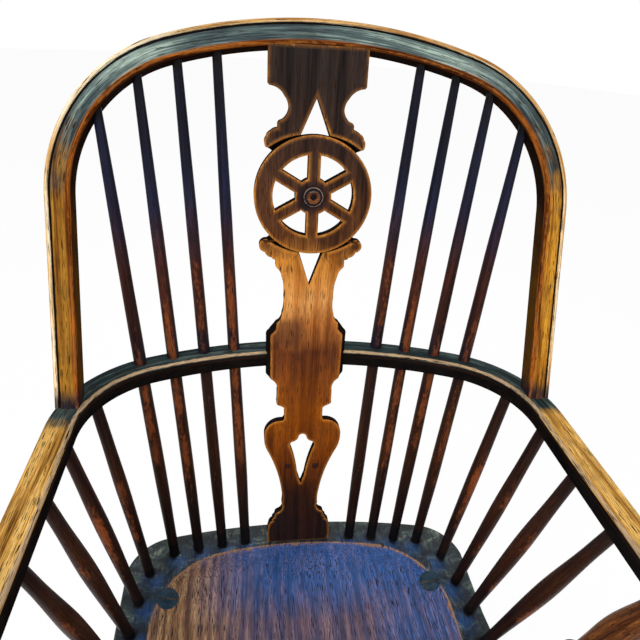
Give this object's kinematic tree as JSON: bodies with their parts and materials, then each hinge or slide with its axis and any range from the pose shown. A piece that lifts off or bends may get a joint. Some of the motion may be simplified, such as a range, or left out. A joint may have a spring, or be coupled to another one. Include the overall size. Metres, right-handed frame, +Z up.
{
  "type": "wheelback chair",
  "caption": "High-backed wooden armchair with a saddled board seat, bent arm bow and back bow, turned legs and stretchers, slim spindles and a fretted splat with a pierced wheel.",
  "frame": {"origin": "on the floor, under the middle of the chair's bounding box", "axes": "+X towards the right arm as seen from in front, +Y towards the back, so the chair faces -Y; +Z up"},
  "size_m": [0.476, 0.4678, 1.0123],
  "materials": {
    "elm_seat": "worn wax over dark elm, greenish grey where it has not been polished",
    "arm_bow_ash": "dark stained ash, worn to gold at the edges, waxed",
    "back_bow_ash": "golden stained ash with dark pores, waxed",
    "splat_beech": "red-brown stained board, worn and waxed",
    "spindle_ash": "stained, dark at the ends, waxed",
    "turned_beech": "stained and waxed turned beech",
    "wedge_oak": "dark end grain"
  },
  "bodies": {
    "root": {"seat": "elm_seat", "arm_bow": "arm_bow_ash", "back_bow": "back_bow_ash", "splat": "splat_beech", "splat_boss": "splat_beech", "long_spindle_left_1": "spindle_ash", "long_spindle_left_2": "spindle_ash", "long_spindle_left_3": "spindle_ash", "long_spindle_left_4": "spindle_ash", "long_spindle_right_1": "spindle_ash", "long_spindle_right_2": "spindle_ash", "long_spindle_right_3": "spindle_ash", "long_spindle_right_4": "spindle_ash", "short_spindle_left_1": "spindle_ash", "short_spindle_left_2": "spindle_ash", "short_spindle_left_3": "spindle_ash", "short_spindle_left_4": "spindle_ash", "short_spindle_right_1": "spindle_ash", "short_spindle_right_2": "spindle_ash", "short_spindle_right_3": "spindle_ash", "short_spindle_right_4": "spindle_ash", "arm_support_left": "turned_beech", "arm_support_right": "turned_beech", "leg_front_left": "turned_beech", "leg_front_right": "turned_beech", "leg_rear_left": "turned_beech", "leg_rear_right": "turned_beech", "leg_wedge_front_left": "wedge_oak", "leg_wedge_front_right": "wedge_oak", "leg_wedge_rear_left": "wedge_oak", "leg_wedge_rear_right": "wedge_oak", "side_stretcher_left": "turned_beech", "side_stretcher_right": "turned_beech", "cross_stretcher": "turned_beech", "bow_pin_left": "wedge_oak", "bow_pin_right": "wedge_oak"}
  },
  "joints": []
}
